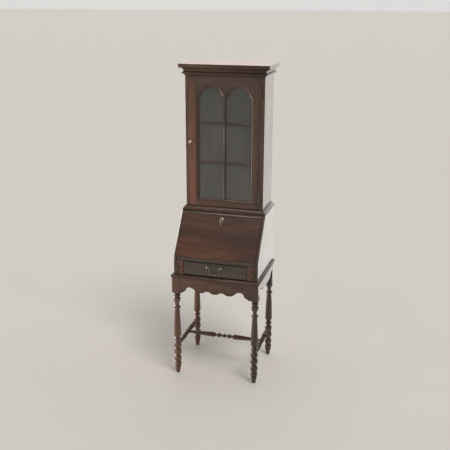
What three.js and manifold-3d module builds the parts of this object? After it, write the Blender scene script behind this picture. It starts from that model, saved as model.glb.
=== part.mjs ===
// Secretary desk: a glazed bookcase over a slant-front writing desk on a turned stand.
// Millimetres, +Z up, +X to the viewer's right, the front faces -Y. Z is 0 at the floor.
// The geometry is drawn with the back at Y = 0; the finished group is shifted so that the
// origin is under the middle of the whole piece.
import * as THREE from "three";
import { mergeVertices } from "three/addons/utils/BufferGeometryUtils.js";
import Module from "manifold-3d";

// ---- driving dimensions -------------------------------------------------------------------
const GAP = 0.3; // between glued or touching pieces
const RUN = 0.6; // running clearance round moving pieces
const FALL_REST = 0.4; // the open fall's underside over the lopers
const FOOT_FREE = 0.4; // how far the open fall's foot stands off the writing board
const ROLL_FREE = 0.12; // the writing board's rounded arris under the turning foot

const STAND = { halfWidth: 251.5, depth: 414, top: 606, block: 45, blockBottom: 506, rail: 20 };
const BASE_MOULDING = { overhang: 5.5, top: 623 };
const STRETCHER_Z = 178;

const DESK = { halfWidth: 243, depth: 404, panel: 15.5, top: 955, topBoard: 17, back: 6 };
const BED = { underside: 708.3, top: 731 }; // the fixed writing board
const SLANT_TOP_Y = -243.5;
const FALL = { thickness: 22.5, length: 254.6 }; // length up the slope
const LOPER = { thickness: 22, length: 330, bottom: 623.4, knobZ: 664 };
const DIVIDER = 20;

const CASE = { halfWidth: 223.6, depth: 217.2, side: 20, bottom: 955.3, board: 22 };
const CORNICE = { halfWidth: 254, depth: 249, underside: 1752, top: 1770 };
const DOOR = { bottom: 980, top: 1705.5, thickness: 20, stile: 38.5, sticking: 18 };
const MUNTIN = { half: 6.5, heights: [1233.5, 1453] };
const ARCH = { spring: 1585, apex: 1665, cusp: 1605 };

const PULL = { halfSpan: 40.5, z: 685, standoff: 17, reach: 24 };
const KEY_S = 222; // the keyhole's distance up the slope

const ROUND = 12; // sides of turned work
const SMALL_ROUND = 12; // sides of knobs and pins

// ---- derived places -----------------------------------------------------------------------
const panelIn = DESK.halfWidth - DESK.panel;
const slant = Math.atan2(DESK.top - BED.top, SLANT_TOP_Y + DESK.depth);
const loperTop = BED.underside - RUN;
const openFallUnderside = loperTop + FALL_REST;
const wholeDepth = DESK.depth + PULL.reach;
const doorHalf = CASE.halfWidth - CASE.side - RUN;
const sight = doorHalf - DOOR.stile; // inner edge of the stile's flat face
const glassLine = sight - DOOR.sticking; // visible edge of the glass

// The fall's pivots sit where its bottom corner ends just in front of the writing board,
// with its underside on the lopers, once it has turned down to level.
const fallOpenAngle = Math.PI - slant;
const cornerShift = GAP / Math.sin(slant) - FOOT_FREE;
const cornerDrop = openFallUnderside - BED.top;
const turn = 1 + Math.cos(slant);
const pivotS = (cornerShift * turn + cornerDrop * Math.sin(slant)) / (2 * turn);
const pivotDepth = (cornerShift * Math.sin(slant) - cornerDrop * turn) / (2 * turn);

// ---- colours and finishes -----------------------------------------------------------------
const FINISH = {
  mahogany: { color: 0x4a2c20, roughness: 0.32, metalness: 0 },
  darkMahogany: { color: 0x33231b, roughness: 0.35, metalness: 0 },
  innerWood: { color: 0x5d4330, roughness: 0.6, metalness: 0 },
  glass: { color: 0x8a8c88, roughness: 0.05, metalness: 0, transparent: true, opacity: 0.35 },
  brass: { color: 0x9a7a45, roughness: 0.35, metalness: 1 },
  steel: { color: 0x77746d, roughness: 0.4, metalness: 1 },
};

const wasm = await Module();
wasm.setup();
const root = new THREE.Group();

// ---- helpers ------------------------------------------------------------------------------
// Adds a named piece to a group (the whole piece by default).
function add(name, geometry, finish, parent = root) {
  const mesh = new THREE.Mesh(geometry, new THREE.MeshStandardMaterial(FINISH[finish]));
  mesh.name = name;
  parent.add(mesh);
  return mesh;
}

function solid(geometry) {
  const bare = geometry.clone();
  bare.deleteAttribute("normal");
  bare.deleteAttribute("uv");
  const merged = mergeVertices(bare, 1e-4);
  return new wasm.Manifold(
    new wasm.Mesh({
      numProp: 3,
      vertProperties: merged.attributes.position.array,
      triVerts: new Uint32Array(merged.index.array),
    }),
  );
}

function geometryOf(manifold) {
  const mesh = manifold.getMesh();
  const geometry = new THREE.BufferGeometry();
  geometry.setAttribute("position", new THREE.BufferAttribute(mesh.vertProperties, 3));
  geometry.setIndex(new THREE.BufferAttribute(mesh.triVerts, 1));
  geometry.computeVertexNormals();
  return geometry;
}

const join = (...pieces) =>
  geometryOf(pieces.map(solid).reduce((whole, piece) => whole.add(piece)));
const cut = (body, ...tools) =>
  geometryOf(tools.map(solid).reduce((rest, tool) => rest.subtract(tool), solid(body)));
const common = (a, b) => geometryOf(solid(a).intersect(solid(b)));

function box(x, y, z) {
  return new THREE.BoxGeometry(x[1] - x[0], y[1] - y[0], z[1] - z[0]).translate(
    (x[0] + x[1]) / 2,
    (y[0] + y[1]) / 2,
    (z[0] + z[1]) / 2,
  );
}

// The X range between two distances from the middle, on one side.
const span = (side, near, far) => (side < 0 ? [-far, -near] : [near, far]);
const SIDES = [
  ["left", -1],
  ["right", 1],
];

function outline(points) {
  return new THREE.Shape(points.map(([a, b]) => new THREE.Vector2(a, b)));
}

const flat = { bevelEnabled: false, curveSegments: 8 };

// A shape drawn in (y, z), running along X.
function alongX(shape, x0, x1) {
  const basis = new THREE.Matrix4().makeBasis(
    new THREE.Vector3(0, 1, 0),
    new THREE.Vector3(0, 0, 1),
    new THREE.Vector3(1, 0, 0),
  );
  const geometry = new THREE.ExtrudeGeometry(shape, { ...flat, depth: x1 - x0 });
  return geometry.applyMatrix4(basis).translate(x0, 0, 0);
}

// A shape drawn in (x, z), running along Y.
function alongY(shape, y0, y1) {
  const geometry = new THREE.ExtrudeGeometry(shape, { ...flat, depth: y1 - y0 });
  return geometry.rotateX(Math.PI / 2).translate(0, y1, 0);
}

// A turned piece about +Z from [radius, z] pairs that start and end on the axis.
function turned(profile, sides = ROUND) {
  const points = profile.map(([r, z]) => new THREE.Vector2(r, z));
  return new THREE.LatheGeometry(points, sides).rotateX(Math.PI / 2);
}

// The same, with its axis turned to +X, or to -Y (out of the front).
const turnedX = (profile, sides = ROUND) => turned(profile, sides).rotateY(Math.PI / 2);
const turnedFront = (profile, sides = SMALL_ROUND) => turned(profile, sides).rotateX(Math.PI / 2);

// A bead of a turning: a half ellipse standing on a neck, from z0 up to z1.
function bead(z0, z1, radius, neck, steps = 4) {
  const points = [];
  for (let i = 0; i <= steps; i++) {
    const angle = (Math.PI * i) / steps;
    const z = (z0 + z1) / 2 - (Math.cos(angle) * (z1 - z0)) / 2;
    points.push([neck + (radius - neck) * Math.sin(angle), z]);
  }
  return points;
}

// A moulding round the front and both sides of a body: profile gives [overhang, z] from the
// bottom up, and the core it is nailed round stays open.
function moulding(profile, halfWidth, depth) {
  const bottom = profile[0][1];
  const top = profile[profile.length - 1][1];
  const right = profile.map(([o, z]) => [halfWidth + o, z]);
  const left = right.map(([x, z]) => [-x, z]).reverse();
  const front = profile.map(([o, z]) => [-depth - o, z]);
  const most = Math.max(...profile.map(([o]) => o));
  const acrossSides = alongY(outline([...right, ...left]), -depth - most - 1, 0);
  const acrossFront = alongX(
    outline([[0, bottom], [0, top], ...front.reverse()]),
    -halfWidth - most - 1,
    halfWidth + most + 1,
  );
  const core = box(
    [-halfWidth - GAP, halfWidth + GAP],
    [-depth - GAP, 1],
    [bottom - 1, top + 1],
  );
  return cut(common(acrossSides, acrossFront), core);
}

// ---- stand --------------------------------------------------------------------------------
const legX = STAND.halfWidth - STAND.block / 2;
const legFrontY = -STAND.depth + STAND.block / 2;
const legBackY = -STAND.block / 2;

function legGeometry() {
  const half = STAND.block / 2;
  const turning = turned([
    [0, 0],
    [9, 0],
    [10.8, 3],
    [17.5, 40],
    [16, 44],
    ...bead(45, 70, 21, 14),
    ...bead(73, 109, 21, 13),
    [12.6, 113],
    ...bead(118, 156, 21, 13),
    ...bead(159, 196, 21, 13),
    [12.4, 200],
    ...bead(205, 221, 20, 13),
    [12.6, 224],
    [15, 231],
    [20, 236],
    [21, 243],
    [19, 300],
    [16, 370],
    [14.2, 402],
    [13, 406],
    ...bead(408, 424, 20, 13),
    [11.4, 430],
    [11.6, 437],
    [14.6, 445],
    [19.2, 456],
    [21, 465],
    [19.4, 474],
    [13.2, 480],
    ...bead(482, 497, 20.4, 12.6),
    [13.6, 501],
    [19.9, STAND.blockBottom + 1],
    [0, STAND.blockBottom + 1],
  ]);
  const chamfer = 5;
  const block = box([-half, half], [-half, half], [STAND.blockBottom, STAND.top]);
  const corners = turned(
    [
      [0, STAND.blockBottom - 1],
      [half * Math.SQRT2 - chamfer - 1, STAND.blockBottom - 1],
      [half * Math.SQRT2 + 1, STAND.blockBottom + chamfer + 1],
      [half * Math.SQRT2 + 1, STAND.top + 1],
      [0, STAND.top + 1],
    ],
    ROUND,
  );
  return join(turning, common(block, corners));
}

for (const [place, x, y] of [
  ["front_left", -legX, legFrontY],
  ["front_right", legX, legFrontY],
  ["back_left", -legX, legBackY],
  ["back_right", legX, legBackY],
])
  add("leg_" + place, legGeometry(), "mahogany").position.set(x, y, 0);

const railX = legX - STAND.block / 2 - GAP;
const railFront = legFrontY + STAND.block / 2 + GAP;
const railBack = legBackY - STAND.block / 2 - GAP;

// Scalloped lower edge of the front rail, the same on both sides of the middle.
function frontApronShape() {
  const shape = new THREE.Shape();
  shape.moveTo(-railX, STAND.top);
  shape.lineTo(-railX, 510);
  for (const side of [-1, 1]) {
    const stops = [
      [195, 511, 186, 520],
      [172, 524, 168, 538],
      [163, 552, 147, 552],
      [128, 552, 112, 534],
      [98, 524, 84, 524.5],
      [68, 525, 60, 531],
      [50, 537.5, 41, 537.5],
      [32, 537.5, 22, 530],
      [12, 524.5, 0, 524.5],
    ];
    if (side < 0) for (const [a, b, c, d] of stops) shape.quadraticCurveTo(-a, b, -c, d);
    else {
      const ends = [[railX, 510], ...stops.map(([, , c, d]) => [c, d])];
      for (let i = stops.length - 1; i >= 0; i--)
        shape.quadraticCurveTo(stops[i][0], stops[i][1], ends[i][0], ends[i][1]);
    }
  }
  shape.lineTo(railX, STAND.top);
  return shape;
}

// Lower edge of a side rail: a broad flat lobe between two arches that rise to the legs.
function sideApronShape() {
  const middle = (railFront + railBack) / 2;
  const shape = new THREE.Shape();
  shape.moveTo(railFront, STAND.top);
  shape.lineTo(railFront, 560);
  shape.quadraticCurveTo(middle - 160, 573, middle - 148, 572);
  shape.quadraticCurveTo(middle - 120, 570, middle - 104, 552);
  shape.quadraticCurveTo(middle - 92, 539.5, middle - 70, 539.5);
  shape.lineTo(middle + 70, 539.5);
  shape.quadraticCurveTo(middle + 92, 539.5, middle + 104, 552);
  shape.quadraticCurveTo(middle + 120, 570, middle + 148, 572);
  shape.quadraticCurveTo(middle + 160, 573, railBack, 560);
  shape.lineTo(railBack, STAND.top);
  return shape;
}

const frontApron = new THREE.ExtrudeGeometry(frontApronShape(), {
  bevelEnabled: false,
  curveSegments: 5,
  depth: STAND.rail,
});
add(
  "apron_front",
  frontApron.rotateX(Math.PI / 2).translate(0, -STAND.depth + STAND.rail + 1, 0),
  "mahogany",
);
add("apron_back", box([-railX, railX], [-STAND.rail - 1, -1], [530, STAND.top]), "mahogany");
const apronOut = STAND.halfWidth - 1;
add("apron_left", alongX(sideApronShape(), -apronOut, -apronOut + STAND.rail), "mahogany");
add("apron_right", alongX(sideApronShape(), apronOut - STAND.rail, apronOut), "mahogany");

const ledge = STAND.halfWidth - DESK.halfWidth;
const lip = ledge + BASE_MOULDING.overhang;
add(
  "base_moulding",
  moulding(
    [
      [ledge, STAND.top + GAP],
      [ledge + 2, 608],
      [lip - 1, 609.5],
      [lip, 612],
      [lip - 1.5, 615],
      [9, 617],
      [6, 620],
      [4.5, BASE_MOULDING.top],
    ],
    DESK.halfWidth,
    DESK.depth + 1.5,
  ),
  "mahogany",
);

// Half of a stretcher's turning, from its end to its middle, mirrored about the middle.
function stretcherProfile(half, rows) {
  const left = rows.map(([r, along]) => [r, -along]).reverse();
  return [[0, -half], [7.5, -half], ...left, ...rows, [7.5, half], [0, half]];
}

const legBall = 21;
const sideBall = 15;
const sideHalf = (legBackY - legFrontY) / 2 - legBall - GAP;
const sideRows = [
  [sideBall, 0.1],
  [14.4, 6],
  [11.4, 13],
  [7, 19],
  [10.5, 27],
  [12.6, 34],
  [10.5, 41],
  [7, 47],
  [7.4, 51],
  [12.6, 57],
  [14.4, 66],
  [12.2, 120],
  [10.4, 150],
];
for (const [place, side] of SIDES) {
  const stretcher = turnedX(stretcherProfile(sideHalf, sideRows), SMALL_ROUND).rotateZ(Math.PI / 2);
  add("side_stretcher_" + place, stretcher, "mahogany").position.set(
    side * legX,
    (legFrontY + legBackY) / 2,
    STRETCHER_Z,
  );
}
const centreHalf = legX - sideBall - GAP;
const centreRows = [
  [13, 0.1],
  [11.4, 7],
  [6.8, 15],
  [6.8, 20],
  [10.8, 26],
  [12.4, 33],
  [10.8, 40],
  [6.8, 46],
  [7.2, 52],
  [14, 57],
  [15.4, 66],
  [11.2, 150],
];
add(
  "centre_stretcher",
  turnedX(stretcherProfile(centreHalf, centreRows), SMALL_ROUND),
  "mahogany",
).position.set(0, (legFrontY + legBackY) / 2, STRETCHER_Z);

// ---- desk carcase -------------------------------------------------------------------------
const deskBottom = STAND.top + GAP;
const deskBack = -DESK.back - 1;
const insideX = panelIn - GAP;

// A point of the desk's side view from its distance up the slope and its depth behind it.
const onSlope = (up, depth) => [
  -DESK.depth + up * Math.cos(slant) + depth * Math.sin(slant),
  BED.top + up * Math.sin(slant) - depth * Math.cos(slant),
];
const [pivotY, pivotZ] = onSlope(pivotS, pivotDepth);
const pivotPin = { radius: 2.6, reach: 6.1 };

const cheek = outline([
  [0, deskBottom],
  [0, DESK.top],
  [SLANT_TOP_Y, DESK.top],
  [-DESK.depth, BED.top],
  [-DESK.depth, deskBottom],
]);
for (const [place, side] of SIDES) {
  const hole = pivotPin.radius + GAP;
  const socket = new THREE.CylinderGeometry(hole, hole, 14, SMALL_ROUND).rotateZ(Math.PI / 2);
  add(
    "desk_side_" + place,
    cut(
      alongX(cheek, ...span(side, panelIn, DESK.halfWidth)),
      socket.translate(side * panelIn, pivotY, pivotZ),
    ),
    "mahogany",
  );
}

// The top board ends in a bead that stands a little proud of the slope, over the fall.
const topUnder = DESK.top - DESK.topBoard;
const beadFoot = FALL.length + RUN;
const topShape = outline([
  [deskBack - GAP, topUnder],
  [deskBack - GAP, DESK.top],
  [SLANT_TOP_Y - 1, DESK.top],
  onSlope(beadFoot + 14.5, 1.2),
  onSlope(beadFoot + 12.5, -0.4),
  onSlope(beadFoot + 9.5, -1.9),
  onSlope(beadFoot + 6, -2.6),
  onSlope(beadFoot + 3, -2.2),
  onSlope(beadFoot + 0.8, -1.2),
  onSlope(beadFoot, 0.4),
  onSlope(beadFoot, 0.8),
]);
const keeper = box([-11, 11], [-247, -231], [topUnder - 1, topUnder + 9]);
add("desk_top", cut(alongX(topShape, -insideX, insideX), keeper), "mahogany");
add(
  "desk_bottom",
  box([-insideX, insideX], [-DESK.depth, deskBack - GAP], [deskBottom, deskBottom + 15.7]),
  "innerWood",
);
add(
  "desk_back",
  box([-insideX, insideX], [-DESK.back - 1, -1], [deskBottom, DESK.top]),
  "innerWood",
);

// The writing board: its front arris is rounded about the fall's pivots, so that the foot of
// the fall rolls over it, and its front corners are notched for the pivot plates.
const roll = BED.top - pivotZ + ROLL_FREE;
const rolled = [];
const rollStart = Math.acos((BED.top - pivotZ) / roll);
const rollEnd = Math.asin((pivotY + DESK.depth) / roll);
for (let i = 0; i <= 4; i++) {
  const angle = rollStart + ((rollEnd - rollStart) * i) / 4;
  rolled.push([pivotY - roll * Math.sin(angle), pivotZ + roll * Math.cos(angle)]);
}
const bedShape = outline([
  [-DESK.depth, BED.underside],
  [deskBack - GAP, BED.underside],
  [deskBack - GAP, BED.top],
  ...rolled,
]);
const notch = { width: 4.2, length: 26 };
const notches = [-1, 1].map((side) =>
  box(
    span(side, insideX - notch.width, insideX + 1),
    [-DESK.depth - 1, -DESK.depth + notch.length],
    [BED.underside - 1, BED.top + 1],
  ),
);
add("writing_board", cut(alongX(bedShape, -insideX, insideX), ...notches), "mahogany");

const loperX = panelIn - 0.9 - LOPER.thickness / 2;
const dividerX = loperX - LOPER.thickness / 2 - RUN - DIVIDER / 2;
const drawerHalf = dividerX - DIVIDER / 2 - RUN;
for (const [place, side] of SIDES) {
  add(
    "drawer_divider_" + place,
    box(
      span(side, dividerX - DIVIDER / 2, dividerX + DIVIDER / 2),
      [-DESK.depth, deskBack - GAP],
      [deskBottom + 15.7 + GAP, BED.underside - GAP],
    ),
    "mahogany",
  );
  add(
    "loper_" + place,
    box(
      span(side, loperX - LOPER.thickness / 2, loperX + LOPER.thickness / 2),
      [-DESK.depth, -DESK.depth + LOPER.length],
      [LOPER.bottom, loperTop],
    ),
    "mahogany",
  );
  add(
    "loper_knob_" + place,
    turnedFront([
      [0, 0],
      [4.6, 0],
      [4.6, 1.4],
      [2.6, 2.4],
      [2.6, 5],
      [5.4, 7.5],
      [6.2, 10],
      [4.6, 12.6],
      [0, 13.4],
    ]),
    "brass",
  ).position.set(side * loperX, -DESK.depth - GAP, LOPER.knobZ);
}

// ---- drawer -------------------------------------------------------------------------------
const drawer = { bottom: 624, top: BED.underside - 3.1, front: 18, side: 9, back: -50, drop: 5 };
const drawerIn = -DESK.depth + drawer.front;
const drawerSideX = drawerHalf - 1;
add(
  "drawer_front",
  box([-drawerHalf, drawerHalf], [-DESK.depth, drawerIn], [drawer.bottom, drawer.top]),
  "darkMahogany",
);
for (const [place, side] of SIDES) {
  add(
    "drawer_side_" + place,
    box(
      span(side, drawerSideX - drawer.side, drawerSideX),
      [drawerIn + GAP, drawer.back],
      [drawer.bottom, drawer.top - drawer.drop],
    ),
    "innerWood",
  );
}
const drawerFloorX = drawerSideX - drawer.side - GAP;
add(
  "drawer_back",
  box(
    [-drawerFloorX, drawerFloorX],
    [drawer.back - 9, drawer.back],
    [drawer.bottom + 10, drawer.top - drawer.drop],
  ),
  "innerWood",
);
add(
  "drawer_bottom",
  box(
    [-drawerFloorX, drawerFloorX],
    [drawerIn + GAP, drawer.back],
    [drawer.bottom + 4, drawer.bottom + 9.5],
  ),
  "innerWood",
);

// Bail pull: two posts with rosettes and a swinging bail whose ends turn in the post heads.
const bailPinX = PULL.halfSpan - 2;
for (const [place, side] of SIDES) {
  const post = turnedFront([
    [0, 0],
    [11, 0],
    [11, 1.4],
    [7, 2.8],
    [3.4, 4.5],
    [3.4, 11],
    [5, 12.4],
    [6.2, PULL.standoff - GAP],
    [5, 21.4],
    [2.4, PULL.reach - GAP],
    [0, PULL.reach - GAP],
  ]);
  const pinHole = new THREE.CylinderGeometry(2.3, 2.3, 10, SMALL_ROUND).rotateZ(Math.PI / 2);
  pinHole.translate(-side * 5, -PULL.standoff, 0);
  add("bail_post_" + place, cut(post, pinHole), "brass").position.set(
    side * PULL.halfSpan,
    -DESK.depth - GAP,
    PULL.z,
  );
}
const bailPath = new THREE.CatmullRomCurve3(
  [
    [-bailPinX, 0],
    [-32, 0],
    [-28.5, -2.5],
    [-27.5, -9],
    [-28, -22],
    [-27, -33],
    [-20, -39.5],
    [0, -41],
    [20, -39.5],
    [27, -33],
    [28, -22],
    [27.5, -9],
    [28.5, -2.5],
    [32, 0],
    [bailPinX, 0],
  ].map(([x, z]) => new THREE.Vector3(x, 0, z)),
  false,
  "centripetal",
);
const bailSection = new THREE.Shape();
bailSection.absarc(0, 0, 1.9, 0, 2 * Math.PI, false);
add(
  "bail",
  new THREE.ExtrudeGeometry(bailSection, {
    bevelEnabled: false,
    curveSegments: 4,
    steps: 30,
    extrudePath: bailPath,
  }),
  "brass",
).position.set(0, -DESK.depth - GAP - PULL.standoff, PULL.z);

// ---- fall, lock and key -------------------------------------------------------------------
// Drawn flat and turned up to the slope: x across, y up the slope, z out of the face.
const slope = new THREE.Group();
slope.position.set(0, -DESK.depth, BED.top);
slope.rotation.x = slant;
root.add(slope);

const fallEnd = insideX - RUN;
const foot = GAP / Math.sin(slant);
const plate = { thick: 1.8, half: 5.4, end: 48 };
const lock = { half: 28, foot: 205, front: 6.8, boltHalf: 9, boltFront: 8.5, boltBack: 12.5 };

// The foot is cut level, to stand on the writing board; the top edge is square to the face.
const fallShape = outline([
  [foot, 0],
  [FALL.length, 0],
  [FALL.length, -FALL.thickness],
  [foot + FALL.thickness / Math.tan(slant), -FALL.thickness],
]);
const lockPocket = box(
  [-lock.half - GAP, lock.half + GAP],
  [lock.foot - GAP, FALL.length + 1],
  [-FALL.thickness - 1, -lock.front + GAP],
);
const keyway = (radius, z0, z1) =>
  new THREE.CylinderGeometry(radius, radius, z1 - z0, SMALL_ROUND)
    .rotateX(Math.PI / 2)
    .translate(0, KEY_S, (z0 + z1) / 2);
const keySlot = box([-1.6, 1.6], [KEY_S - 9.5, KEY_S], [-9, 4]);
const plateRecesses = [-1, 1].map((side) =>
  box(
    span(side, fallEnd - plate.thick - GAP, fallEnd + 1),
    [-1, plate.end + GAP],
    [-pivotDepth - plate.half - GAP, -pivotDepth + plate.half + GAP],
  ),
);
add(
  "fall_board",
  cut(
    alongX(fallShape, -fallEnd, fallEnd),
    lockPocket,
    keyway(3.4, -9, 4),
    keySlot,
    ...plateRecesses,
  ),
  "mahogany",
  slope,
);
const boltWay = box(
  [-lock.boltHalf - GAP, lock.boltHalf + GAP],
  [230, FALL.length + 1],
  [-lock.boltBack - GAP, -lock.boltFront + GAP],
);
add(
  "lock_case",
  cut(
    box([-lock.half, lock.half], [lock.foot, FALL.length - GAP], [-FALL.thickness + 0.5, -lock.front]),
    boltWay,
    keyway(9.6, -lock.boltBack - GAP, -lock.boltFront + GAP),
    keyway(3.4, -9, 4),
    keySlot,
  ),
  "steel",
  slope,
);
add(
  "lock_bolt",
  box(
    [-lock.boltHalf, lock.boltHalf],
    [231, FALL.length - 0.8],
    [-lock.boltBack, -lock.boltFront],
  ),
  "brass",
  slope,
);

function escutcheonShape() {
  const shape = new THREE.Shape();
  shape.moveTo(0, 27);
  for (const side of [1, -1]) {
    const turns = [
      [5, 26, 6, 20],
      [14, 19, 13, 10],
      [12.5, 5, 8.5, 1],
      [12, -6, 9, -11],
      [5, -15, 4.5, -18],
      [4, -24, 0, -27],
    ];
    if (side > 0) for (const [a, b, c, d] of turns) shape.quadraticCurveTo(a, b, c, d);
    else {
      const ends = [[0, 27], ...turns.map(([, , c, d]) => [c, d])];
      for (let i = turns.length - 1; i >= 0; i--)
        shape.quadraticCurveTo(-turns[i][0], turns[i][1], -ends[i][0], ends[i][1]);
    }
  }
  return shape;
}
const escutcheonPlate = new THREE.ExtrudeGeometry(escutcheonShape(), {
  bevelEnabled: false,
  curveSegments: 4,
  depth: 1.8,
}).translate(0, KEY_S, GAP);
add(
  "escutcheon",
  cut(
    escutcheonPlate,
    keyway(3.4, -9, 4),
    keySlot,
  ),
  "brass",
  slope,
);

function keyGeometry() {
  const shank = turned(
    [
      [0, -12.4],
      [2.2, -12.4],
      [2.2, 5],
      [3, 6],
      [3, 7.6],
      [2.2, 8.6],
      [2.2, 16],
      [3.2, 17.5],
      [0, 19],
    ],
    SMALL_ROUND,
  );
  const bit = box([-0.9, 0.9], [-8.2, -1], [-12.4, -8.9]);
  const bowShape = new THREE.Shape();
  bowShape.absellipse(0, 25.5, 9.5, 8, 0, 2 * Math.PI, false, 0);
  const eye = new THREE.Path();
  eye.absellipse(0, 26, 6.4, 5, 0, 2 * Math.PI, true, 0);
  bowShape.holes.push(eye);
  const bow = alongX(bowShape, -1.3, 1.3);
  return join(shank, bit, bow);
}
add("key", keyGeometry(), "brass", slope).position.set(0, KEY_S, 0);

// Pivot plates let into the ends of the fall, each with the pin that turns in the cheek.
for (const [place, side] of SIDES) {
  const arm = box(
    span(side, fallEnd - plate.thick, fallEnd),
    [pivotS - plate.half, plate.end],
    [-pivotDepth - plate.half, -pivotDepth + plate.half],
  );
  const pin = new THREE.CylinderGeometry(
    pivotPin.radius,
    pivotPin.radius,
    pivotPin.reach + 1,
    SMALL_ROUND,
  ).rotateZ(Math.PI / 2);
  pin.translate(side * (fallEnd + (pivotPin.reach - 1) / 2), pivotS, -pivotDepth);
  add("fall_pivot_" + place, join(arm, pin), "brass", slope);
}

// ---- gallery inside the desk --------------------------------------------------------------
const gallery = { shelfZ: 836, front: -172, board: 9 };
add(
  "gallery_shelf",
  box(
    [-insideX, insideX],
    [gallery.front, deskBack - GAP],
    [gallery.shelfZ, gallery.shelfZ + gallery.board],
  ),
  "innerWood",
);
add(
  "gallery_upright",
  box(
    [-gallery.board / 2, gallery.board / 2],
    [gallery.front + 6, deskBack - GAP],
    [gallery.shelfZ + gallery.board + GAP, topUnder - GAP],
  ),
  "innerWood",
);

// ---- bookcase -----------------------------------------------------------------------------
const caseIn = CASE.halfWidth - CASE.side;
const caseBack = -DESK.back - 1;
const hinges = [
  ["lower", 1022, 1094],
  ["upper", 1594, 1664],
];
const hinge = { radius: 3.6, y: -CASE.depth - 4, x: caseIn - 0.3, leaf: 1.8, inset: 27 };
const hingePockets = hinges.map(([, z0, z1]) =>
  box(
    [caseIn - 1, caseIn + hinge.leaf + 2 * GAP],
    [-CASE.depth - 1, -CASE.depth + hinge.inset + GAP],
    [z0 - GAP, z1 + GAP],
  ),
);
const caseTop = CORNICE.underside - GAP;
const sideBoard = box([caseIn, CASE.halfWidth], [-CASE.depth, 0], [CASE.bottom, caseTop]);
add("case_side_left", sideBoard.clone().translate(-caseIn - CASE.halfWidth, 0, 0), "mahogany");
add("case_side_right", cut(sideBoard, ...hingePockets), "mahogany");
const shelfX = caseIn - GAP;
add(
  "case_bottom",
  box([-shelfX, shelfX], [-CASE.depth, caseBack - GAP], [CASE.bottom, CASE.bottom + CASE.board]),
  "mahogany",
);
add(
  "case_top",
  box([-shelfX, shelfX], [-CASE.depth, caseBack - GAP], [DOOR.top + 1, DOOR.top + 19]),
  "mahogany",
);
add(
  "case_back",
  box([-shelfX, shelfX], [caseBack, -1], [CASE.bottom, caseTop]),
  "innerWood",
);
MUNTIN.heights.forEach((z, i) =>
  add(
    ["shelf_lower", "shelf_upper"][i],
    box(
      [-shelfX, shelfX],
      [-CASE.depth + DOOR.thickness + 4, caseBack - GAP],
      [z - 8, z + 8],
    ),
    "mahogany",
  ),
);
add(
  "cornice_board",
  box([-CORNICE.halfWidth, CORNICE.halfWidth], [-CORNICE.depth, 0], [CORNICE.underside, CORNICE.top]),
  "mahogany",
);
add(
  "cornice_moulding",
  moulding(
    [
      [3, 1709],
      [4, 1714],
      [7, 1716],
      [12, 1718],
      [13.4, 1722],
      [12, 1726],
      [7, 1728.5],
      [7, 1732],
      [9, 1738],
      [14, 1744],
      [22, 1748],
      [27, 1749],
      [27, CORNICE.underside - GAP],
    ],
    CASE.halfWidth,
    CASE.depth,
  ),
  "mahogany",
);
add(
  "waist_moulding",
  moulding(
    [
      [19, DESK.top + GAP],
      [19.5, 957],
      [18.6, 960],
      [15, 961.5],
      [14.6, 965],
      [13, 969],
      [9, 973],
      [5.5, 974.5],
      [5, 978],
    ],
    CASE.halfWidth,
    CASE.depth,
  ),
  "mahogany",
);

// ---- glazed door --------------------------------------------------------------------------
// Each frame member has three layers: the face, the moulded edge that laps the glass, and the
// rebate behind it.
const doorFront = -CASE.depth;
const layer = {
  face: [doorFront, doorFront + 7.7],
  edge: [doorFront + 7.7, doorFront + 9.8],
  rebate: [doorFront + 9.8, doorFront + DOOR.thickness],
};
const rebateLine = glassLine + 8;
const opening = { bottom: DOOR.bottom + 28, top: 1672 }; // between the rails
const glassBottom = opening.bottom + DOOR.sticking;

for (const [place, side] of SIDES) {
  const slab = (inner, y) => box(span(side, inner, doorHalf), y, [DOOR.bottom, DOOR.top]);
  add(
    "door_stile_" + place,
    join(
      slab(sight, [layer.face[0], layer.rebate[1]]),
      slab(glassLine, layer.edge),
      slab(rebateLine, [layer.edge[0], layer.rebate[1]]),
    ),
    "mahogany",
  );
}

// A rail shape whose lower edge is a pair of arches that spring from the stiles.
function archShape(half, spring, apex, cusp, flatHalf) {
  const crown = half / 2;
  const shape = new THREE.Shape();
  shape.moveTo(-half, DOOR.top);
  shape.lineTo(-half, spring);
  shape.lineTo(-half + 1.5, spring);
  shape.quadraticCurveTo(-crown - 46, apex, -crown, apex);
  shape.quadraticCurveTo(-flatHalf - 30, apex, -flatHalf, cusp);
  shape.lineTo(flatHalf, cusp);
  shape.quadraticCurveTo(flatHalf + 30, apex, crown, apex);
  shape.quadraticCurveTo(crown + 46, apex, half - 1.5, spring);
  shape.lineTo(half, spring);
  shape.lineTo(half, DOOR.top);
  return shape;
}
add(
  "door_top_rail",
  join(
    alongY(archShape(sight - GAP, ARCH.spring, ARCH.apex, ARCH.cusp, 0.6), ...layer.face),
    alongY(
      archShape(glassLine - GAP, ARCH.spring - 12, ARCH.apex - 15, ARCH.cusp - 15, MUNTIN.half),
      layer.edge[0] - 0.5,
      layer.edge[1],
    ),
    box([-glassLine + GAP, glassLine - GAP], [layer.face[0] + 1, layer.rebate[1]], [
      opening.top,
      DOOR.top,
    ]),
  ),
  "mahogany",
);
add(
  "door_bottom_rail",
  join(
    box([-sight + GAP, sight - GAP], layer.face, [DOOR.bottom, opening.bottom]),
    box([-glassLine + GAP, glassLine - GAP], [layer.edge[0] - 0.5, layer.edge[1]], [
      DOOR.bottom + 1,
      glassBottom,
    ]),
    box([-glassLine + GAP, glassLine - GAP], [layer.edge[0], layer.rebate[1]], [
      DOOR.bottom,
      glassBottom - 8.4,
    ]),
  ),
  "mahogany",
);
const paneY = [layer.rebate[0] + GAP, layer.rebate[0] + 3 + GAP];
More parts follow.
